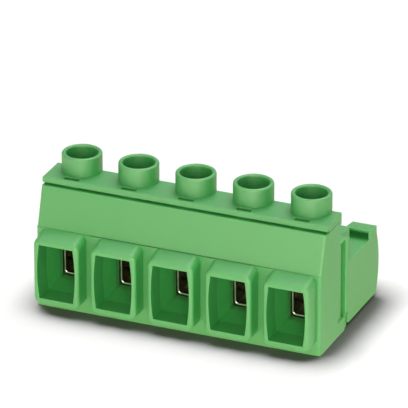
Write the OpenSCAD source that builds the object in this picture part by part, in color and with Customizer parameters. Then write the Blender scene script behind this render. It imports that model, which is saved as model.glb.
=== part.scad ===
// Pluggable screw terminal plug for a pin header.
// The row of poles runs along X, wires enter from -Y, pins from +Y, screws stand along Z.
// Lengths along Y are measured from the upright front wall, heights from the underside.

/* [Row of poles] */
// Number of poles
poles = 5; // [2:1:6]
// Distance between neighbouring poles
pitch = 7.62; // [7.3:0.01:10.16]
// How much shorter the row is than its poles times the pitch
row_trim = 0.3; // [0:0.05:0.5]

/* [Housing] */
// Radius of the upright corners of the front section and the bottom flange
corner_r = 0.4; // [0.2:0.05:0.6]
// Height of the upright front wall
wall_h = 10.65; // [10.4:0.05:12]
// Height of the tall front section, under the screw cover
front_h = 15.6; // [14.4:0.1:17]
// Depth of the tall front section
front_d = 5.75; // [5:0.05:6.5]
// How far the slope above the front wall leans back
slope_run = 1.6; // [1:0.1:2]
// Depth of the small ledge at the foot of the slope
ledge_d = 0.2; // [0.1:0.05:0.3]
// Depth from the front wall to the back of the waist
waist_d = 12; // [11:0.1:12.8]
// How far the ends of the waist stand in from the end faces
waist_inset = 0.28; // [0.2:0.02:0.4]
// How far they stand in behind the end ribs
waist_back_inset = 1.05; // [0.8:0.05:1.2]
// Plastic left over the clamp chambers
waist_roof = 0.45; // [0.4:0.05:1]
// Depth from the front wall to the crown of the end cheeks
cheek_d = 19.4; // [18.8:0.1:21]
// Radius of the crowned back edge of the end cheeks
cheek_crown_r = 11; // [9:0.5:20]
// Thickness of the end cheeks
cheek_t = 1.5; // [1:0.1:2]
// How far the end cheeks stand back past the mating face
cheek_reach = 1; // [0.6:0.1:1.4]
// Plastic left over the pin sockets
socket_roof = 0.8; // [0.6:0.05:1.2]
// Height of the mating block's underside
mating_lift = 0.5; // [0.3:0.1:0.8]

/* [End ribs] */
// Depth of the stepped-in band behind the front section
band_d = 1.6; // [1.2:0.05:1.8]
// Width of the upright groove in front of the end rib
groove_w = 0.9; // [0.7:0.05:1.1]
// Depth of the upright groove below the stepped-in band
groove_cut = 0.5; // [0.3:0.05:0.6]
// Plastic left over the upright groove
groove_roof = 0.3; // [0.2:0.05:0.6]
// Depth of the end rib
rib_d = 0.95; // [0.7:0.05:1.2]
// Height of the end rib's lower end
rib_lift = 2.1; // [1.8:0.05:2.6]
// Height of the bottom flange
flange_h = 1.9; // [1.4:0.05:2.4]
// Width of the guide lug on top of each end
lug_w = 3.24; // [2.8:0.02:3.6]
// Depth of the guide lug
lug_d = 2.6; // [2.2:0.1:3]
// Height of the guide lug at its front
lug_h = 1.15; // [1:0.05:1.4]
// How far the guide lug's top falls towards the back
lug_fall = 0.35; // [0.2:0.05:0.5]
// Distance of the guide lug from the crown of the end cheek
lug_setback = 0.8; // [0.6:0.1:1]
// Width of the ramp at the guide lug's inner end
lug_ramp = 0.6; // [0.4:0.05:0.8]
// Depth of the pocket in the guide lug's front
lug_pocket_d = 1.6; // [1.2:0.1:1.8]
// Plastic left over that pocket
lug_roof = 0.28; // [0.2:0.02:0.4]
// Plastic beside that pocket
lug_cheek = 0.2; // [0.15:0.05:0.4]

/* [Wire funnels] */
// How far the funnel collars stand out of the front wall
collar_len = 2.4; // [2:0.1:3]
// Wall of the collar
collar_wall = 0.8; // [0.6:0.05:0.85]
// Corner radius of the collar
collar_corner = 0.95; // [0.7:0.05:1.2]
// Rounding of the collar's rim
rim_r = 0.45; // [0.3:0.05:0.6]
// How much the collar widens towards the wall, on each side
collar_draft = 0.02; // [0:0.01:0.1]
// Width of the funnel's mouth at its corners
mouth_w = 4.5; // [4.3:0.05:4.8]
// Height of the funnel's mouth
mouth_h = 7.2; // [6.8:0.1:7.6]
// Height of the funnel's middle
mouth_z = 5.8; // [5.6:0.05:6]
// How far the sides of the mouth bow outwards
mouth_bow = 0.27; // [0.1:0.01:0.35]
// Depth of the straight part of the mouth
mouth_d = 2.75; // [2.4:0.05:3]
// Depth of the tapered part behind the mouth
taper_d = 2.45; // [2:0.05:2.6]
// Width of the wire hole at the end of the taper
hole_w = 3.62; // [3.2:0.02:4]
// Height of that wire hole
hole_h = 6; // [5.4:0.1:6.4]

/* [Screw cover] */
// Thickness of the cover strip
cover_t = 0.73; // [0.6:0.01:1]
// Open gap under the cover's front lip
lip_gap = 0.25; // [0.15:0.05:0.4]
// Depth of that front lip
lip_d = 0.65; // [0.4:0.05:0.8]
// How far the cover's front stands behind the top of the slope
cover_setback = 0.35; // [0.2:0.05:0.6]
// Thickness of the apron that hooks behind the front section
apron_t = 0.87; // [0.6:0.01:1.1]
// Height of that apron
apron_h = 0.65; // [0.4:0.05:1]
// Outer diameter of a chimney
chimney_od = 5.06; // [4.8:0.02:5.3]
// Bore of a chimney, for the screwdriver
chimney_bore = 3.94; // [3.6:0.02:4.1]
// Height of a chimney above the cover
chimney_h = 2.42; // [2:0.02:3]
// Rounding of a chimney's rim
chimney_rim = 0.26; // [0.15:0.01:0.27]
// Width of a latch slot
latch_w = 1.9; // [1.6:0.1:2.2]
// Depth of a latch slot
latch_d = 0.75; // [0.7:0.05:0.9]
// Distance of the latch slots from the cover's front edge
latch_setback = 0.5; // [0.4:0.05:0.7]
// Thickness of the latch tab in each slot
tab_t = 0.35; // [0.25:0.05:0.4]
// How far the latch tab stays below the cover's top
tab_sink = 0.6; // [0.3:0.05:0.7]

/* [Screw clamp] */
// Distance of the screw axis from the front wall
screw_y = 5.84; // [5.6:0.02:6]
// Diameter of the screw's thread
thread_d = 2.9; // [2.5:0.1:3]
// Diameter of the screw's head
head_d = 4.4; // [4.2:0.1:4.6]
// Height of the screw's head
head_h = 1.8; // [1.4:0.1:2.2]
// Width of the screwdriver slot
slot_w = 0.8; // [0.6:0.05:1]
// Depth of the screwdriver slot
slot_d = 0.9; // [0.6:0.05:1.1]
// Chamfer at the screw's tip
tip_chamfer = 0.35; // [0.2:0.05:0.5]
// Chamfer round the screw's head
head_chamfer = 0.25; // [0.15:0.05:0.4]
// Plastic round the screw head behind the front section
tower_wall = 0.62; // [0.5:0.02:0.8]
// Width of the tension sleeve
sleeve_w = 3.95; // [3.8:0.05:4.1]
// Depth of the tension sleeve
sleeve_d = 3.68; // [3.4:0.02:4]
// Thickness of the sleeve's sides
sleeve_wall = 0.5; // [0.4:0.05:0.6]
// Thickness of the sleeve's floor
sleeve_floor = 0.5; // [0.4:0.05:0.7]
// Thickness of the sleeve's threaded top
sleeve_top = 1.6; // [1.2:0.05:2]
// Clear height of the sleeve's window
window_h = 4.58; // [4.3:0.02:4.8]
// Height of the sleeve's underside when the clamp is open
sleeve_z = 2.67; // [2.5:0.01:2.9]
// Outer edge radius of the sleeve
sleeve_round = 0.6; // [0.3:0.05:0.65]
// Radius of the window's lower corners
window_round = 0.35; // [0.2:0.05:0.45]
// How far the sleeve rises from open to clamped
sleeve_travel = 2.2; // [1.8:0.05:2.4]

/* [Contact] */
// Thickness of the contact tongue
tongue_t = 0.7; // [0.5:0.05:0.8]
// Thickness of the web that hangs behind the tension sleeve and stops the wire
web_t = 0.5; // [0.4:0.05:0.8]
// Thickness of the two socket leaves
leaf_t = 0.4; // [0.3:0.05:0.5]
// Height of the socket leaves
leaf_h = 3.25; // [2.8:0.05:3.4]
// Opening between the leaves at the throat
throat_w = 1; // [0.8:0.05:1.1]
// Opening between the leaves at their roots
root_w = 2; // [1.8:0.05:2.2]
// Length of the leaves' straight roots
root_d = 2.5; // [2.2:0.05:2.7]
// Depth of the bridge that joins the leaves
bridge_d = 2.1; // [1.8:0.05:2.2]
// Length of the parallel throat
throat_d = 1.3; // [1:0.05:1.6]
// Length of the flared lead-in
flare_d = 1.1; // [0.8:0.05:1.4]
// Width of the pin window in the mating face
pin_window_w = 1.8; // [1.4:0.1:2.2]
// Height of the pin window
pin_window_h = 2.8; // [2.2:0.1:3]
// Plastic behind the mating face
mating_wall = 0.8; // [0.6:0.05:1.2]
// Plastic between the clamp chamber and the pin socket
inner_wall = 2; // [1.6:0.05:2.4]
// Thickness of the contact spring
spring_t = 0.22; // [0.15:0.01:0.28]
// How far the spring stays inside each end of the throat
spring_inset = 0.1; // [0.05:0.01:0.2]
// How far the spring stays above the lower edge of the leaves
spring_lift = 0.4; // [0.2:0.05:0.6]
// Width of the coding groove over each pin socket
coding_w = 1.6; // [1.2:0.1:2]
// Depth of the coding groove
coding_cut = 0.4; // [0.2:0.05:0.5]

/* [Fits] */
// Room for the tension sleeve in its chamber, on each side
sleeve_play = 0.1; // [0.06:0.01:0.15]
// Room under the tension sleeve when it is open
seat_play = 0.05; // [0.03:0.01:0.1]
// Radial room for the thread in the sleeve
thread_play = 0.05; // [0.03:0.01:0.08]
// Radial room for the screw head in its bore
head_play = 0.08; // [0.05:0.01:0.12]
// Room round the contact in the housing
contact_play = 0.03; // [0.02:0.01:0.06]
// Room between the cover and the housing's latches and towers
cover_play = 0.05; // [0.03:0.01:0.1]
// Room over the contact in its socket
socket_head = 0.4; // [0.35:0.01:0.6]
// Room under the socket leaves
socket_foot = 0.5; // [0.3:0.05:0.7]
// Room beside each socket leaf
socket_side = 0.35; // [0.3:0.05:0.5]
// Room between the leaves' roots and the socket's front
root_gap = 0.1; // [0.05:0.01:0.2]
// Room between the leaves' tips and the plastic behind the mating face
tip_gap = 0.3; // [0.2:0.05:0.4]

/* [Hidden] */
plastic_green = "#6fb56c";
cover_green = "#66b269";
steel_grey = "#b9bcbe";
plated_silver = "#cfd2d4";
tin_gold = "#c9b06a";
smooth = 96;
corner_fn = 32;
bow_steps = 8;
corner_steps = 6;
cut = 1;
lap = 0.2;
overlap = 0.01;

row_w = poles * pitch - row_trim;
pole_x = [for (i = [0 : poles - 1]) (i - (poles - 1) / 2) * pitch];

// Clamp heights, from the open sleeve upwards
sleeve_h = sleeve_floor + window_h + sleeve_top;
window_w = sleeve_w - 2 * sleeve_wall;
chamber_floor = sleeve_z - seat_play;
chamber_top = sleeve_z + sleeve_h + sleeve_travel + 2 * sleeve_play;
chamber_w = sleeve_w + 2 * sleeve_play;
chamber_front = screw_y - sleeve_d / 2 - sleeve_play;
chamber_back = screw_y + sleeve_d / 2 + sleeve_play;
tongue_top = sleeve_z + sleeve_floor + window_h - sleeve_play;
tongue_w = window_w - 2 * sleeve_play;
tongue_front = screw_y - sleeve_d / 2 + sleeve_wall;
tip_z = tongue_top + seat_play;
head_z = chamber_top + seat_play;
bore_r = head_d / 2 + head_play;
tower_r = bore_r + tower_wall;

// Housing stations along Y and up Z
waist_h = chamber_top + waist_roof;
groove_y = front_d + band_d;
rib_y = groove_y + groove_w;
mating_y = rib_y + rib_d;
mating_face = cheek_d - cheek_reach;
socket_front = chamber_back + inner_wall;
socket_back = mating_face - mating_wall;
socket_top = tongue_top + socket_head;
socket_floor = tongue_top - leaf_h - socket_foot;
socket_w = root_w + 2 * leaf_t + 2 * socket_side;
mating_h = socket_top + socket_roof;
lug_back = cheek_d - lug_setback;
lug_front = lug_back - lug_d;
lug_back_h = lug_h - lug_fall;

// Cover heights
cover_z = front_h + lip_gap;
cover_top = cover_z + cover_t;
cover_front = slope_run + cover_setback;
cover_back = front_d + apron_t;
latch_y = cover_front + latch_setback;

// Contact stations along Y
root_y = socket_front + root_gap;
flare_end = socket_back - tip_gap;
throat_end = flare_end - flare_d;
throat_start = throat_end - throat_d;

// Half of the overall depth, which puts the origin under the middle of the part
middle_y = (cheek_d - collar_len) / 2;

function names(piece) = [for (i = [1 : poles]) str(piece, "_", i)];

// Moves a piece from the front wall's frame to the part's own
module in_frame() {
    translate([0, -middle_y, 0]) children();
}

// Extrudes an outline drawn in Y and Z along X, centred
module along_x(width) {
    rotate([90, 0, 90]) linear_extrude(width, center = true) children();
}

// Extrudes an outline drawn in X and Z from station y backwards
module along_y(y, depth) {
    translate([0, y + depth, 0]) rotate([90, 0, 0]) linear_extrude(depth) children();
}

// A box centred on X, from one Y and Z station to another
module block(width, y0, y1, z0, z1) {
    translate([-width / 2, y0, z0]) cube([width, y1 - y0, z1 - z0]);
}

module at_poles() {
    for (x = pole_x) translate([x, 0, 0]) children();
}

module at_ends() {
    for (side = [0, 1]) mirror([side, 0, 0]) translate([row_w / 2, 0, 0]) children();
}

// Joins closed outlines of X and Z points, one at each station along Y, into one solid
module loft(stations, outlines) {
    n = len(outlines[0]);
    last = len(stations) - 1;
    points = [for (k = [0 : last], p = outlines[k]) [p[0], stations[k], p[1]]];
    sides = [for (k = [0 : last - 1], i = [0 : n - 1], half = [0, 1])
        let (j = (i + 1) % n, near = k * n, far = near + n)
            half == 0 ? [near + i, near + j, far + j] : [near + i, far + j, far + i]];
    front_cap = [for (i = [n - 1 : -1 : 0]) i];
    back_cap = [for (i = [0 : n - 1]) last * n + i];
    polyhedron(points, concat([front_cap, back_cap], sides));
}

// Outline of a wire opening: flat top and bottom, both sides bowed outwards
function bowed(width, height, bow) = [for (side = [1, -1], k = [0 : bow_steps])
    let (t = 2 * k / bow_steps - 1)
        [side * (width / 2 + bow * (1 - t * t)), side * t * height / 2]];

// A quarter of an upright corner's round, about one point and from one angle on
function quarter(x, y, angle) = [for (k = [0 : corner_steps])
    let (a = angle + 90 * k / corner_steps) [x + corner_r * cos(a), y + corner_r * sin(a)]];

// Plan of the tall front section from station y backwards, its front corners round
function front_plan(y) = let (x = row_w / 2 - corner_r)
    concat(quarter(-x, y + corner_r, 180), quarter(x, y + corner_r, 270),
        [[row_w / 2, front_d], [-row_w / 2, front_d]]);

// Plan of the bottom flange, all four corners round
function flange_plan() = let (x = row_w / 2 - corner_r)
    concat(quarter(-x, corner_r, 180), quarter(x, corner_r, 270),
        quarter(x, rib_y - corner_r, 0), quarter(-x, rib_y - corner_r, 90));

// The tall front section: upright wall, small ledge, slope and flat top
module front_section() {
    linear_extrude(wall_h) polygon(front_plan(0));
    rotate([-90, 0, 0]) loft([-front_h, -wall_h, lap - wall_h],
        [front_plan(slope_run), front_plan(ledge_d), front_plan(ledge_d)]);
}

// Side view of an end cheek: a block whose back edge is one round crown
module cheek_outline() {
    crown_z = (mating_h + mating_lift) / 2;
    intersection() {
        translate([mating_y, mating_lift]) square([cheek_d - mating_y, mating_h - mating_lift]);
        translate([cheek_d - cheek_crown_r, crown_z]) circle(cheek_crown_r, $fn = 4 * smooth);
    }
}

// Side view of a guide lug, its top falling towards the back
module lug_outline() {
    polygon([[lug_front, mating_h - lap], [lug_front, mating_h + lug_h],
        [lug_back, mating_h + lug_back_h], [lug_back, mating_h - lap]]);
}

// Side view of the pocket in a guide lug's front, its ceiling following the lug's top
module pocket_outline() {
    fall = lug_fall * lug_pocket_d / lug_d;
    ceiling = mating_h + lug_h - lug_roof;
    polygon([[lug_front - lap, mating_h], [lug_front - lap, ceiling], [lug_front, ceiling],
        [lug_front + lug_pocket_d, ceiling - fall], [lug_front + lug_pocket_d, mating_h]]);
}

// Front view of the ramp at a guide lug's inner end
module ramp_outline() {
    ramp_x = -lug_w - lug_ramp;
    lug_x = lug_cheek - lug_w;
    polygon([[ramp_x, mating_h - lap], [ramp_x, mating_h], [-lug_w, mating_h + lug_back_h],
        [lug_x, mating_h + lug_back_h], [lug_x, mating_h - lap]]);
}

// A guide lug with its ramp and pocket, and the plastic that closes the coding groove under it
module guide_lug() {
    pocket_w = lug_w - 2 * lug_cheek;
    foot_w = lug_w + lug_ramp;
    foot_h = coding_cut + lap;
    translate([-foot_w, lug_front, mating_h - foot_h]) cube([foot_w, mating_face - lug_front, foot_h]);
    difference() {
        union() {
            translate([-lug_w / 2, 0, 0]) along_x(lug_w) lug_outline();
            along_y(lug_front, lug_d) ramp_outline();
        }
        translate([-lug_w / 2, 0, 0]) along_x(pocket_w) pocket_outline();
    }
}

// Outer form of one funnel collar: a rim with round edges that widens to the wall
module collar() {
    rim_x = mouth_w / 2 + collar_wall - collar_corner;
    rim_z = mouth_h / 2 + collar_wall - collar_corner;
    base_x = rim_x + collar_draft;
    base_top = wall_h - mouth_z - collar_corner;
    base_low = -rim_z - collar_draft;
    translate([0, 0, mouth_z]) hull() {
        for (x = [-rim_x, rim_x], z = [-rim_z, rim_z])
            translate([x, rim_r - collar_len, z]) rotate([90, 0, 0])
                rotate_extrude($fn = corner_fn) translate([collar_corner - rim_r, 0])
                    circle(rim_r, $fn = corner_fn);
        for (x = [-base_x, base_x], z = [base_low, base_top])
            translate([x, lap, z]) rotate([90, 0, 0]) cylinder(r = collar_corner, h = lap, $fn = corner_fn);
    }
}

// Room inside one funnel: bowed mouth, taper and straight wire hole
module funnel() {
    mouth = bowed(mouth_w, mouth_h, mouth_bow);
    hole = bowed(hole_w, hole_h, 0);
    taper_y = mouth_d - collar_len;
    stations = [-collar_len - cut, taper_y, taper_y + taper_d, chamber_front + lap];
    translate([0, 0, mouth_z]) loft(stations, [mouth, mouth, hole, hole]);
}

// Room for one clamp and its pin socket
module clamp_room() {
    pin_z = tongue_top - leaf_h / 2;
    block(chamber_w, chamber_front, chamber_back, chamber_floor, chamber_top);
    translate([0, screw_y, chamber_top - overlap]) cylinder(r = bore_r, h = front_h, $fn = smooth);
    block(tongue_w + 2 * contact_play, chamber_back - cut, socket_front + cut,
        tongue_top - tongue_t - contact_play, tongue_top + contact_play);
    block(tongue_w + 2 * contact_play, chamber_back - cut, chamber_back + web_t + contact_play,
        chamber_floor, tongue_top + contact_play);
    block(socket_w, socket_front, socket_back, socket_floor, socket_top);
    block(pin_window_w, socket_back - cut, mating_face + cut,
        pin_z - pin_window_h / 2, pin_z + pin_window_h / 2);
    block(coding_w, waist_d, mating_face + cut, mating_h - coding_cut, mating_h + cut);
}

// Room cut from one end: the upright groove in front of the end rib
module end_room() {
    groove_x = waist_inset + groove_cut;
    translate([-groove_x, groove_y, flange_h])
        cube([groove_x + cut, groove_w, waist_h - groove_roof - flange_h]);
}

module housing() {
    tab_y = latch_y + latch_d - cover_play - tab_t;
    tab_w = latch_w - 2 * cover_play;
    color(plastic_green) in_frame() {
        difference() {
            union() {
                front_section();
                block(row_w - 2 * waist_inset, front_d - cut, mating_y, 0, waist_h);
                block(row_w - 2 * waist_back_inset, mating_y - cut, waist_d, 0, waist_h);
                linear_extrude(flange_h) polygon(flange_plan());
                block(row_w, rib_y, mating_y, rib_lift, waist_h);
                block(row_w, mating_y, mating_face, mating_lift, mating_h);
                at_ends() translate([-cheek_t / 2, 0, 0]) along_x(cheek_t) cheek_outline();
                at_poles() {
                    collar();
                    translate([0, screw_y, waist_h - cut])
                        cylinder(r = tower_r, h = front_h - waist_h + cut, $fn = smooth);
                    block(tab_w, tab_y, tab_y + tab_t, front_h - cut, cover_top - tab_sink);
                }
            }
            at_poles() {
                funnel();
                clamp_room();
            }
            at_ends() end_room();
        }
        at_ends() guide_lug();
    }
}

// Half section of a chimney: a tube with a round rim
module chimney_outline() {
    inner_r = chimney_bore / 2;
    outer_r = chimney_od / 2;
    top_z = cover_top + chimney_h;
    translate([inner_r, front_h]) square([outer_r - inner_r, top_z - chimney_rim - front_h]);
    translate([inner_r + chimney_rim, front_h])
        square([outer_r - inner_r - 2 * chimney_rim, top_z - front_h]);
    for (r = [inner_r + chimney_rim, outer_r - chimney_rim])
        translate([r, top_z - chimney_rim]) circle(chimney_rim, $fn = corner_fn);
}

module screw_cover() {
    color(cover_green) in_frame() difference() {
        union() {
            block(row_w, cover_front, cover_back, cover_z, cover_top);
            block(row_w, cover_front + lip_d, cover_back, front_h, cover_z + lap);
            difference() {
                block(row_w, front_d + cover_play, cover_back, front_h - apron_h, front_h + lap);
                at_poles() translate([0, screw_y, 0])
                    cylinder(r = tower_r + cover_play, h = front_h, $fn = smooth);
            }
            at_poles() translate([0, screw_y, 0]) rotate_extrude($fn = smooth) chimney_outline();
        }
        at_poles() {
            translate([0, screw_y, 0]) cylinder(d = chimney_bore, h = cover_top, $fn = smooth);
            block(latch_w, latch_y, latch_y + latch_d, front_h - cut, cover_top + cut);
        }
    }
}

// A slotted screw with a chamfered tip and head
module clamp_screw(i) {
    color(steel_grey) in_frame() translate([pole_x[i], screw_y, 0]) difference() {
        rotate_extrude($fn = smooth) polygon([
            [0, tip_z], [thread_d / 2 - tip_chamfer, tip_z], [thread_d / 2, tip_z + tip_chamfer],
            [thread_d / 2, head_z], [head_d / 2, head_z], [head_d / 2, head_z + head_h - head_chamfer],
            [head_d / 2 - head_chamfer, head_z + head_h], [0, head_z + head_h]]);
        translate([-head_d, -slot_w / 2, head_z + head_h - slot_d]) cube([2 * head_d, slot_w, head_h]);
    }
}

// Front view of the sleeve's window, its lower corners round
module window_outline() {
    round_x = window_w / 2 - window_round;
    translate([-window_w / 2, sleeve_floor + window_round]) square([window_w, window_h - window_round]);
    translate([-round_x, sleeve_floor]) square([2 * round_x, window_h]);
    for (x = [-round_x, round_x])
        translate([x, sleeve_floor + window_round]) circle(window_round, $fn = corner_fn);
}

// A cage bent from strip: round outer edges, a window for wire and tongue, a threaded top
module tension_sleeve(i) {
    round_x = sleeve_w / 2 - sleeve_round;
    color(plated_silver) in_frame() translate([pole_x[i], 0, sleeve_z]) difference() {
        along_y(screw_y - sleeve_d / 2, sleeve_d) {
            translate([-round_x, 0]) square([2 * round_x, sleeve_h]);
            translate([-sleeve_w / 2, sleeve_round]) square([sleeve_w, sleeve_h - 2 * sleeve_round]);
            for (x = [-round_x, round_x], z = [sleeve_round, sleeve_h - sleeve_round])
                translate([x, z]) circle(sleeve_round, $fn = corner_fn);
        }
        along_y(screw_y - sleeve_d, 2 * sleeve_d) window_outline();
        translate([0, screw_y, sleeve_floor + window_h - cut])
            cylinder(r = thread_d / 2 + thread_play, h = sleeve_top + 2 * cut, $fn = smooth);
    }
}

// Plan of one socket leaf: root, bend in to the throat, flared lead-in
module leaf_outline() {
    root_x = root_w / 2;
    throat_x = throat_w / 2;
    inner = [[root_x, root_y], [root_x, root_y + root_d], [throat_x, throat_start], [throat_x, throat_end],
        [root_x, flare_end]];
    outer = [for (k = [len(inner) - 1 : -1 : 0]) inner[k] + [leaf_t, 0]];
    polygon(concat(inner, outer));
}

// The tongue that the wire is clamped to, the web under it and the two leaves that grip a pin
module contact(i) {
    color(tin_gold) in_frame() translate([pole_x[i], 0, 0]) {
        block(tongue_w, tongue_front, root_y, tongue_top - tongue_t, tongue_top);
        block(tongue_w, chamber_back, chamber_back + web_t, chamber_floor + contact_play, tongue_top);
        block(root_w + 2 * leaf_t, root_y, root_y + bridge_d, tongue_top - tongue_t, tongue_top);
        for (side = [0, 1]) mirror([side, 0, 0])
            translate([0, 0, tongue_top - leaf_h]) linear_extrude(leaf_h) leaf_outline();
    }
}

// A clip over both leaves at the throat
module contact_spring(i) {
    inner_w = throat_w + 2 * leaf_t + 2 * contact_play;
    outer_w = inner_w + 2 * spring_t;
    spring_z = tongue_top + contact_play;
    color(steel_grey) in_frame() translate([pole_x[i], 0, 0]) difference() {
        block(outer_w, throat_start + spring_inset, throat_end - spring_inset,
            tongue_top - leaf_h + spring_lift, spring_z + spring_t);
        block(inner_w, throat_start - cut, throat_end + cut, tongue_top - leaf_h, spring_z);
    }
}

housing();
screw_cover();
for (i = [0 : poles - 1]) {
    clamp_screw(i);
    tension_sleeve(i);
    contact(i);
    contact_spring(i);
}
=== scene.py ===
import math
import bmesh
import bpy
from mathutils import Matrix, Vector
from mathutils.kdtree import KDTree


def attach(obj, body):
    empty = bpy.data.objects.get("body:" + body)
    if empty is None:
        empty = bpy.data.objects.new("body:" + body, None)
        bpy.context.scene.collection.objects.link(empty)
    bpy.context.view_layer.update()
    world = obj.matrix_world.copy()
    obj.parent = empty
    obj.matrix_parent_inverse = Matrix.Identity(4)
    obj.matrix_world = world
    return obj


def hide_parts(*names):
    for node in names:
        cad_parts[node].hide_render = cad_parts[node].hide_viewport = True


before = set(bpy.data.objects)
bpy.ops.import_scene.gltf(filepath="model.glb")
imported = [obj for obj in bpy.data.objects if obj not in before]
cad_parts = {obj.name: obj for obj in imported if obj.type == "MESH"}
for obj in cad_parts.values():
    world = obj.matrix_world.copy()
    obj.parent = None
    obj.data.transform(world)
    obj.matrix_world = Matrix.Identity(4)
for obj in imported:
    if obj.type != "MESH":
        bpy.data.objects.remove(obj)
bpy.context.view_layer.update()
scene = bpy.context.scene
scene.view_settings.view_transform = "Standard"
mm = 0.001
closeBy = 0.02 * mm  # what lies nearer than this counts as the same place

poleRow = {"count": 5, "pitch": 7.62 * mm, "screwY": -2.66 * mm}
poles = range(1, poleRow["count"] + 1)


def poleX(pole):
    return (pole - (poleRow["count"] + 1) / 2) * poleRow["pitch"]


# sRGB hex to linear
def hexColor(code):
    parts = [int(code[i:i + 2], 16) / 255 for i in (1, 3, 5)]
    return [c / 12.92 if c <= 0.04045 else ((c + 0.055) / 1.055) ** 2.4 for c in parts] + [1.0]


# a socket is linked to the input, anything else is its fixed value
def setInputs(tree, node, inputs):
    for key, value in inputs.items():
        if isinstance(value, bpy.types.NodeSocket):
            tree.links.new(value, node.inputs[key])
        else:
            node.inputs[key].default_value = value


def addNode(tree, kind, inputs=None, **settings):
    node = tree.nodes.new(kind)
    for key, value in settings.items():
        setattr(node, key, value)
    setInputs(tree, node, inputs or {})
    return node


def newMaterial(name):
    material = bpy.data.materials.new(name)
    material.use_nodes = True
    tree = material.node_tree
    tree.nodes.clear()
    shader = addNode(tree, "ShaderNodeBsdfPrincipled")
    addNode(tree, "ShaderNodeOutputMaterial", {"Surface": shader.outputs["BSDF"]})
    coords = addNode(tree, "ShaderNodeTexCoord")
    return material, tree, shader, coords.outputs["Object"]


# how often a pattern of this size repeats in a metre
def perMetre(sizeMm):
    return 1000 / sizeMm


# polyamide, injection moulded in a spark-eroded tool: even colour with faint flow clouds, satin, fine grain,
# and a thin wall lets some green light through
def mouldedPolyamide(name, look):
    material, tree, shader, place = newMaterial(name)
    flow = addNode(tree, "ShaderNodeTexNoise", {
        "Vector": place, "Scale": perMetre(look["flowMm"]), "Detail": look["flowDetail"]})
    tint = addNode(tree, "ShaderNodeMix", {
        "Factor": flow.outputs["Fac"], "A": hexColor(look["deep"]), "B": hexColor(look["base"])},
        data_type="RGBA")
    grain = addNode(tree, "ShaderNodeTexNoise", {
        "Vector": place, "Scale": perMetre(look["grainMm"]), "Detail": look["grainDetail"]})
    satin = addNode(tree, "ShaderNodeMapRange", {
        "Value": grain.outputs["Fac"],
        "To Min": look["roughness"] - look["spread"], "To Max": look["roughness"] + look["spread"]})
    bump = addNode(tree, "ShaderNodeBump", {
        "Height": grain.outputs["Fac"], "Strength": look["grain"], "Distance": look["grainDeepMm"] * mm})
    setInputs(tree, shader, {
        "Base Color": tint.outputs["Result"],
        "Roughness": satin.outputs["Result"],
        "Normal": bump.outputs["Normal"],
        "IOR": look["ior"],
        "Specular IOR Level": look["gloss"],
        "Subsurface Weight": look["scatter"],
        "Subsurface Radius": look["scatterRgb"],
        "Subsurface Scale": look["scatterMm"] * mm})
    return material


# the IOR is a little above polyamide's 1.53, which gives the paler sheen of the satin skin,
# and the grain is drawn coarser than the tool leaves it, so that it shows
satinPolyamide = {"roughness": 0.54, "spread": 0.06, "ior": 1.65, "gloss": 1.0,
                  "flowMm": 9.0, "flowDetail": 3.0,
                  "grainMm": 0.25, "grainDetail": 2.0, "grain": 0.25, "grainDeepMm": 0.02,
                  "scatter": 0.6, "scatterRgb": (0.1, 1.0, 0.3), "scatterMm": 1.0}
greenHousing = mouldedPolyamide("polyamideGreenHousing", {
    "base": "#36a850", "deep": "#32a34c", **satinPolyamide})
# the cover's green is a darker copy of the housing's: painted shade that keeps the cover's lamp-lit top from
# coming out brighter
shadedGreenCover = mouldedPolyamide("polyamideGreenCoverPaintedShade", {
    "base": "#32a04d", "deep": "#2e9b49", **satinPolyamide})


# the pattern that the tool left makes the metal rougher here and smoother there, and slightly uneven
def finishMetal(tree, shader, pattern, look):
    spread = addNode(tree, "ShaderNodeMapRange", {
        "Value": pattern,
        "To Min": look["roughness"] * look["smoothest"], "To Max": look["roughness"] * look["roughest"]})
    bump = addNode(tree, "ShaderNodeBump", {
        "Height": pattern, "Strength": look["relief"], "Distance": look["reliefMm"] * mm})
    setInputs(tree, shader, {
        "Base Color": hexColor(look["base"]),
        "Metallic": 1.0,
        "Roughness": spread.outputs["Result"],
        "Normal": bump.outputs["Normal"]})


# plated metal: bright, with fine rolling lines along the strip
def platedMetal(name, look):
    material, tree, shader, place = newMaterial(name)
    stretch = addNode(tree, "ShaderNodeMapping", {"Vector": place, "Scale": (1.0, look["stretch"], 1.0)})
    lines = addNode(tree, "ShaderNodeTexNoise", {
        "Vector": stretch.outputs["Vector"], "Scale": perMetre(look["lineMm"])})
    finishMetal(tree, shader, lines.outputs["Fac"], look)
    return material


# the lines are drawn coarser than a mill leaves them, so that they show
rolledStrip = {"lineMm": 0.2, "stretch": 0.12, "smoothest": 0.75, "roughest": 1.3,
               "relief": 0.15, "reliefMm": 0.01}
# the nickel is dull, and its base is darker still: painted shade for the sleeves' faces deep in the funnels
nickelSleeve = platedMetal("nickelPlatedSteel", {"base": "#b2b0a8", "roughness": 0.16, **rolledStrip})
# the tin's base is far darker than tin: painted shade for the dark insides of the funnels
shadedTinContact = platedMetal("tinPlatedCopperPaintedShade", {"base": "#5c5846", "roughness": 0.12, **rolledStrip})  # darkened
springSteel = platedMetal("rolledSpringSteel", {"base": "#a9abad", "roughness": 0.28, **rolledStrip})


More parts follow.
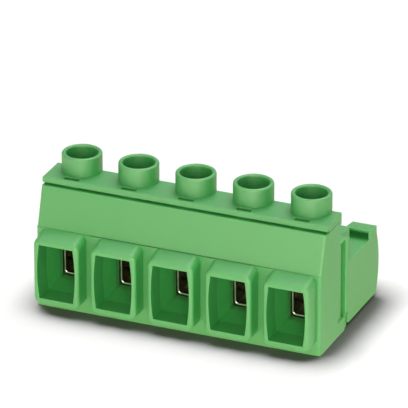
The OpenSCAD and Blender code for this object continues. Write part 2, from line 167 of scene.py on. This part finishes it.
# zinc plated steel, turned on a lathe: the rings of the tool round each screw's axis
def turnedZinc(name, look):
    material, tree, shader, place = newMaterial(name)
    axes = addNode(tree, "ShaderNodeSeparateXYZ", {"Vector": place})
    half = poleRow["pitch"] / 2
    wrapped = addNode(tree, "ShaderNodeMath", {0: axes.outputs["X"], 1: half, 2: -half}, operation="WRAP")
    depth = addNode(tree, "ShaderNodeMath", {
        0: axes.outputs["Y"], 1: poleRow["screwY"]}, operation="SUBTRACT")
    fromAxis = addNode(tree, "ShaderNodeCombineXYZ", {
        "X": wrapped.outputs["Value"], "Y": depth.outputs["Value"]})
    ringAtOne = 2 * math.pi / 20  # the wave texture's own ring spacing at scale 1
    rings = addNode(tree, "ShaderNodeTexWave", {
        "Vector": fromAxis.outputs["Vector"],
        "Scale": perMetre(look["ringMm"]) * ringAtOne,
        "Distortion": look["wobble"]}, wave_type="RINGS", rings_direction="Z")
    finishMetal(tree, shader, rings.outputs["Fac"], look)
    return material


# the rings are drawn coarser than a lathe leaves them, so that they show
zincScrew = turnedZinc("zincPlatedSteel", {
    "base": "#c3c5c8", "roughness": 0.3, "smoothest": 0.8, "roughest": 1.2,
    "ringMm": 0.9425, "wobble": 0.6, "relief": 0.3, "reliefMm": 0.01})
print("materials made")


def bakeModifiers(piece):
    seen = piece.evaluated_get(bpy.context.evaluated_depsgraph_get())
    piece.data = bpy.data.meshes.new_from_object(seen)
    piece.modifiers.clear()


rounding = {"sharpFrom": 30, "smoothBelow": 35, "flatBelow": 0.02,  # degrees
            "markEvery": 0.1 * mm, "lookAround": 2.2, "beside": 0.5,
            "outerShare": 0.45, "innerShare": 0.9}  # of the gap to the next edge


# how wide each sharp outer edge may be rounded before it meets the next one on the same flat
def edgeRooms(creases, wanted):
    marks = []
    for edge in creases:
        steps = max(1, int(edge.calc_length() / rounding["markEvery"]))
        marks += [(edge.verts[0].co.lerp(edge.verts[1].co, k / steps), edge) for k in range(steps + 1)]
    nearby = KDTree(len(marks))
    for i, mark in enumerate(marks):
        nearby.insert(mark[0], i)
    nearby.balance()
    rooms = {edge: wanted(edge) for edge in creases if edge.is_convex}
    for start, edge in marks:
        if edge not in rooms:
            continue
        along = (edge.verts[1].co - edge.verts[0].co).normalized()
        for place, i, distance in nearby.find_range(start, rounding["lookAround"] * wanted(edge)):
            other = marks[i][1]
            if other is edge or set(other.verts) & set(edge.verts):
                continue
            step = place - start
            beside = abs(step.dot(along)) < rounding["beside"] * distance
            sameFlat = any(abs(step.dot(face.normal)) < closeBy for face in edge.link_faces)
            if beside and sameFlat:
                share = rounding["outerShare"] if other.is_convex else rounding["innerShare"]
                rooms[edge] = min(rooms[edge], share * distance)
    return rooms


# a copy of a CAD node with its seams merged and its outer edges rounded, as a mould or a press leaves them
def roundedCopy(nodeName, pieceName, wanted, widest, segments, crispBends=()):
    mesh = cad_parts[nodeName].data.copy()
    mesh.attributes.remove(mesh.attributes["custom_normal"])  # the node's own normals no longer fit
    shell = bmesh.new()
    shell.from_mesh(mesh)
    bmesh.ops.remove_doubles(shell, verts=shell.verts, dist=closeBy)
    bmesh.ops.dissolve_limit(shell, angle_limit=math.radians(rounding["flatBelow"]),
                             verts=shell.verts, edges=shell.edges)
    weight = shell.edges.layers.float.new("bevel_weight_edge")
    sharpFrom = math.radians(rounding["sharpFrom"])
    creases = [edge for edge in shell.edges if edge.is_manifold and edge.calc_face_angle() > sharpFrom]
    for edge, room in edgeRooms(creases, wanted).items():
        edge[weight] = room / widest
    shell.to_mesh(mesh)
    shell.free()
    mesh.shade_smooth()
    piece = bpy.data.objects.new(pieceName, mesh)
    scene.collection.objects.link(piece)
    edges = piece.modifiers.new("edges", "BEVEL")
    edges.limit_method = "WEIGHT"
    edges.width = widest
    edges.segments = segments
    edges.use_clamp_overlap = False
    edges.loop_slide = False  # keeps the round corners inside the CAD solid
    edges.face_strength_mode = "FSTR_ALL"
    bakeModifiers(piece)
    piece.data.set_sharp_from_angle(angle=math.radians(rounding["smoothBelow"]))
    for edge in piece.data.edges:
        ends = [piece.data.vertices[i].co.y for i in edge.vertices]
        if any(max(abs(y - bend) for y in ends) < closeBy for bend in crispBends):
            edge.use_edge_sharp = True
    facing = piece.modifiers.new("facing", "WEIGHTED_NORMAL")
    facing.keep_sharp = True
    facing.mode = "CORNER_ANGLE"
    facing.use_face_influence = True
    bakeModifiers(piece)
    return piece


def dress(piece, material, body, node):
    piece.data.materials.clear()
    piece.data.materials.append(material)
    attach(piece, body)
    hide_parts(node)


housingMould = {"edge": 0.17 * mm, "fineEdge": 0.05 * mm, "segments": 3, "rimY": -10.4 * mm,
                "lugY": 7.2 * mm, "lugZ": 8.8 * mm, "grooveX": 17.4 * mm, "backY": 9.85 * mm,
                "funnelBends": (-8.15 * mm, -5.7 * mm)}


# the funnel mouths, whose rims are round already, and the thin lugs stay crisper than the other edges,
# and the coding groove's rear edges stay sharp
def housingEdge(edge):
    ends = [vertex.co for vertex in edge.verts]
    onGroove = all(abs(abs(end.x) - housingMould["grooveX"]) < closeBy for end in ends)
    if onGroove and all(end.y > housingMould["backY"] for end in ends):
        return 0.0
    onRim = all(end.y < housingMould["rimY"] for end in ends)
    onLug = all(end.y > housingMould["lugY"] and end.z > housingMould["lugZ"] for end in ends)
    return housingMould["fineEdge"] if onRim or onLug else housingMould["edge"]


housing = roundedCopy("housing", "housingMoulding", housingEdge, housingMould["edge"],
                      housingMould["segments"], housingMould["funnelBends"])
dress(housing, greenHousing, "housing", "housing")

coverMould = {"edge": 0.1 * mm, "lipEdge": 0.22 * mm, "segments": 3, "lipY": -6.5 * mm, "lipZ": 16.5 * mm}


# the upper edge of the cover's front lip is rounder than the rest
def coverEdge(edge):
    onLip = all(end.co.y < coverMould["lipY"] and end.co.z > coverMould["lipZ"] for end in edge.verts)
    return coverMould["lipEdge"] if onLip else coverMould["edge"]


cover = roundedCopy("screw_cover", "coverMoulding", coverEdge, coverMould["lipEdge"], coverMould["segments"])
dress(cover, shadedGreenCover, "housing", "screw_cover")
print("housing and cover rounded")

sleeveBlank = {"edge": 0.24 * mm, "holeEdge": 0.05 * mm, "segments": 4, "holeR": 1.75 * mm}


# the sleeve is punched and tumbled, so its edges are rounder than those of its tapped hole
def sleeveEdge(edge):
    half = poleRow["pitch"] / 2
    offsets = [Vector(((end.co.x + half) % (2 * half) - half, end.co.y - poleRow["screwY"]))
               for end in edge.verts]
    atHole = all(off.length < sleeveBlank["holeR"] for off in offsets)
    return sleeveBlank["holeEdge"] if atHole else sleeveBlank["edge"]


contactStrip = {"edge": 0.12 * mm, "segments": 3}
stripPieces = [
    ("contact", "pinContact", shadedTinContact, "contact_metal"),
    ("contact_spring", "contactClip", springSteel, "spring_steel"),
]


def stripEdge(edge):
    return contactStrip["edge"]


for pole in poles:
    nodeName = "tension_sleeve_%d" % pole
    sleeve = roundedCopy(nodeName, "sleeveCage%d" % pole, sleeveEdge, sleeveBlank["edge"],
                         sleeveBlank["segments"])
    dress(sleeve, nickelSleeve, "sleeve_%d" % pole, nodeName)
    for node, pieceName, metal, slotName in stripPieces:
        nodeName = "%s_%d" % (node, pole)
        pressed = roundedCopy(nodeName, "%s%d" % (pieceName, pole), stripEdge, contactStrip["edge"],
                              contactStrip["segments"])
        dress(pressed, metal, "housing", nodeName)
print("sleeves and contacts rounded")

# rolled thread, drawn as a ridge that winds up a thinner shank; shankReach takes in the solid's plain thread
thread = {"radius": 1.45 * mm, "core": 1.2 * mm, "shankReach": 1.55 * mm, "pitch": 0.5 * mm,
          "ridge": 0.19 * mm, "ridgeSides": 6, "steps": 24, "headLow": 11.8 * mm, "tip": 8.0 * mm,
          "headEdge": 0.06 * mm, "segments": 3}


def screwEdge(edge):
    return thread["headEdge"]


threadTree = bpy.data.node_groups.new("threadRidge", "GeometryNodeTree")
threadSockets = [
    ("Shank", "NodeSocketGeometry"),
    ("Axis", "NodeSocketVector"),
    ("Path Radius", "NodeSocketFloat"),
    ("Ridge Radius", "NodeSocketFloat"),
    ("Ridge Sides", "NodeSocketInt"),
    ("Turns", "NodeSocketFloat"),
    ("Height", "NodeSocketFloat"),
    ("Steps", "NodeSocketInt"),
    ("Metal", "NodeSocketMaterial"),
]
for name, kind in threadSockets:
    threadTree.interface.new_socket(name, in_out="INPUT", socket_type=kind)
threadTree.interface.new_socket("Screw", in_out="OUTPUT", socket_type="NodeSocketGeometry")
given = addNode(threadTree, "NodeGroupInput").outputs
winding = addNode(threadTree, "GeometryNodeCurveSpiral", {
    "Resolution": given["Steps"], "Rotations": given["Turns"], "Start Radius": given["Path Radius"],
    "End Radius": given["Path Radius"], "Height": given["Height"]})
profile = addNode(threadTree, "GeometryNodeCurvePrimitiveCircle", {
    "Resolution": given["Ridge Sides"], "Radius": given["Ridge Radius"]})
ridge = addNode(threadTree, "GeometryNodeCurveToMesh", {
    "Curve": winding.outputs["Curve"], "Profile Curve": profile.outputs["Curve"], "Fill Caps": True})
placed = addNode(threadTree, "GeometryNodeTransform", {
    "Geometry": ridge.outputs["Mesh"], "Translation": given["Axis"]})
joined = addNode(threadTree, "GeometryNodeJoinGeometry")
threadTree.links.new(given["Shank"], joined.inputs["Geometry"])
threadTree.links.new(placed.outputs["Geometry"], joined.inputs["Geometry"])
solid = addNode(threadTree, "GeometryNodeRealizeInstances", {"Geometry": joined.outputs["Geometry"]})
plated = addNode(threadTree, "GeometryNodeSetMaterial", {
    "Geometry": solid.outputs["Geometry"], "Material": given["Metal"]})
addNode(threadTree, "NodeGroupOutput", {"Screw": plated.outputs["Geometry"]})
threadInputs = {item.name: item.identifier for item in threadTree.interface.items_tree
                if item.in_out == "INPUT"}

for pole in poles:
    nodeName = "clamp_screw_%d" % pole
    screw = roundedCopy(nodeName, "clampScrew%d" % pole, screwEdge, thread["headEdge"], thread["segments"])
    for vertex in screw.data.vertices:
        off = Vector((vertex.co.x - poleX(pole), vertex.co.y - poleRow["screwY"]))
        underHead = vertex.co.z < thread["headLow"] + closeBy
        if underHead and thread["core"] < off.length < thread["shankReach"]:
            off *= thread["core"] / off.length
            vertex.co.x = poleX(pole) + off.x
            vertex.co.y = poleRow["screwY"] + off.y
    height = thread["headLow"] - thread["tip"]
    sizes = {
        "Axis": (poleX(pole), poleRow["screwY"], thread["tip"]),
        "Path Radius": thread["radius"] - thread["ridge"],
        "Ridge Radius": thread["ridge"],
        "Ridge Sides": thread["ridgeSides"],
        "Turns": height / thread["pitch"],
        "Height": height,
        "Steps": thread["steps"],
        "Metal": zincScrew,
    }
    winds = screw.modifiers.new("thread", "NODES")
    winds.node_group = threadTree
    for name, value in sizes.items():
        winds[threadInputs[name]] = value
    bakeModifiers(screw)
    dress(screw, zincScrew, "screw_%d" % pole, nodeName)
print("screws threaded")

white = hexColor("#ffffff")


# white to the camera, while the part's gloss mirrors a tint that changes from the front to the rear
def mirroredTint(tree, path, place, look):
    along = addNode(tree, "ShaderNodeSeparateXYZ", {"Vector": place})
    behind = addNode(tree, "ShaderNodeMapRange", {
        "Value": along.outputs["Y"], "From Min": look["frontY"], "From Max": look["rearY"]})
    mirrored = addNode(tree, "ShaderNodeMix", {
        "Factor": behind.outputs["Result"], "A": hexColor(look["front"]), "B": hexColor(look["rear"])},
        data_type="RGBA")
    tint = addNode(tree, "ShaderNodeMix", {
        "Factor": path.outputs["Is Glossy Ray"], "A": white, "B": mirrored.outputs["Result"]},
        data_type="RGBA")
    return tint.outputs["Result"]


# white tent, mirrored as cream in front and a duller white behind; level is the light that it gives
tent = {"level": 0.15, "front": "#fffcd4", "rear": "#ccccc0", "frontY": -0.5, "rearY": 0.5}
world = bpy.data.worlds.new("tent")
scene.world = world
world.use_nodes = True
tree = world.node_tree
tree.nodes.clear()
path = addNode(tree, "ShaderNodeLightPath")
heading = addNode(tree, "ShaderNodeTexCoord")
seen = addNode(tree, "ShaderNodeMath", {
    0: path.outputs["Is Camera Ray"], 1: path.outputs["Is Glossy Ray"]}, operation="MAXIMUM")
level = addNode(tree, "ShaderNodeMath", {0: seen.outputs["Value"], 1: tent["level"]}, operation="MAXIMUM")
sky = addNode(tree, "ShaderNodeBackground", {
    "Color": mirroredTint(tree, path, heading.outputs["Generated"], tent),
    "Strength": level.outputs["Value"]})
addNode(tree, "ShaderNodeOutputWorld", {"Surface": sky.outputs["Background"]})

# white paper that glows to the camera, with a little of the lamps' shadow, and a painted contact shadow where
# the part stands close over it; the part's gloss mirrors it as cream in front and a dull yellow under and
# behind the part
paper = {"color": "#f7f7f7", "seen": 0.15, "glow": 0.9, "roughness": 0.9, "size": 8.0, "drop": 0.01 * mm,
         "contactMm": 5.2, "darkest": 0.55, "shadowLean": (-0.25, -0.25, 1.0), "samples": 16,
         "front": "#fcfccc", "rear": "#9c9c30", "frontY": -12 * mm, "rearY": 2 * mm}
bpy.ops.mesh.primitive_plane_add(size=paper["size"], location=(0, 0, -paper["drop"]))
floor = bpy.context.object
floor.name = "floor"
whitePaper, tree, shader, place = newMaterial("whitePaper")
path = addNode(tree, "ShaderNodeLightPath")
paperColor = addNode(tree, "ShaderNodeMix", {
    "Factor": path.outputs["Is Camera Ray"], "A": hexColor(paper["color"]), "B": [paper["seen"]] * 3 + [1.0]},
    data_type="RGBA")
lean = addNode(tree, "ShaderNodeVectorMath", {0: paper["shadowLean"]}, operation="NORMALIZE")
# painted contact shadow: the glow dims with ambient occlusion round a leaned normal
nearPart = addNode(tree, "ShaderNodeAmbientOcclusion", {
    "Distance": paper["contactMm"] * mm, "Normal": lean.outputs["Vector"]}, samples=paper["samples"])
paintedShadow = addNode(tree, "ShaderNodeMapRange", {
    "Value": nearPart.outputs["AO"], "From Min": paper["darkest"], "To Max": paper["glow"]})
toCamera = addNode(tree, "ShaderNodeMath", {
    0: path.outputs["Is Camera Ray"], 1: paintedShadow.outputs["Result"]}, operation="MULTIPLY")
glow = addNode(tree, "ShaderNodeMath", {
    0: path.outputs["Is Glossy Ray"], 1: toCamera.outputs["Value"]}, operation="MAXIMUM")
setInputs(tree, shader, {
    "Base Color": paperColor.outputs["Result"],
    "Roughness": paper["roughness"],
    "Specular IOR Level": 0.0,
    "Emission Color": mirroredTint(tree, path, place, paper),
    "Emission Strength": glow.outputs["Value"]})
floor.data.materials.append(whitePaper)


# azimuth turns from the front to the right, in degrees
def towards(azimuth, elevation):
    a = math.radians(azimuth)
    e = math.radians(elevation)
    return Vector((math.sin(a) * math.cos(e), -math.cos(a) * math.cos(e), math.sin(e)))


# soft lamps; level is how bright a white card facing the lamp comes out
lampStand = {"distance": 3.0, "aimZ": 8 * mm}
lamps = [
    {"name": "keyBehind", "azimuth": 168, "elevation": 68, "size": 2.2, "level": 0.72, "tint": "#fffdfa"},
    {"name": "frontFill", "azimuth": 21, "elevation": 15, "size": 1.6, "level": 0.67, "tint": "#fff1e0"},
    {"name": "edgeLight", "azimuth": -40, "elevation": 58, "size": 1.2, "level": 0.06, "tint": "#ffffff"},
]
for look in lamps:
    lamp = bpy.data.lights.new(look["name"], "AREA")
    lamp.shape = "SQUARE"
    lamp.size = look["size"]
    lamp.color = hexColor(look["tint"])[:3]
    lamp.energy = look["level"] * math.pi ** 2 * lampStand["distance"] ** 2
    holder = bpy.data.objects.new(look["name"], lamp)
    scene.collection.objects.link(holder)
    toLamp = towards(look["azimuth"], look["elevation"])
    holder.location = toLamp * lampStand["distance"] + Vector((0, 0, lampStand["aimZ"]))
    holder.rotation_euler = toLamp.to_track_quat("Z", "Y").to_euler()
print("studio lit")

# the photograph's viewpoint; right and up say how far the aim stands off the middle of the frame
view = {"azimuth": 22.94, "elevation": 24.815, "distance": 687.93 * mm, "lensPx": 5572.3, "framePx": 408,
        "sensorMm": 36, "near": 0.05, "far": 20, "aim": (0.0, 0.5 * mm, 8.0 * mm),
        "right": 0.2557 * mm, "up": -4.7808 * mm}
turn = math.radians(view["azimuth"])
rightward = Vector((math.cos(turn), math.sin(turn), 0))
backward = towards(view["azimuth"], view["elevation"])
upward = backward.cross(rightward)
camera = bpy.data.cameras.new("camera")
camera.sensor_width = view["sensorMm"]
camera.lens = view["lensPx"] / view["framePx"] * view["sensorMm"]
camera.clip_start = view["near"]
camera.clip_end = view["far"]
viewer = bpy.data.objects.new("camera", camera)
scene.collection.objects.link(viewer)
middle = Vector(view["aim"]) - view["right"] * rightward - view["up"] * upward
viewer.location = middle + view["distance"] * backward
viewer.rotation_euler = (-backward).to_track_quat("-Z", "Y").to_euler()
scene.camera = viewer
print("camera placed")
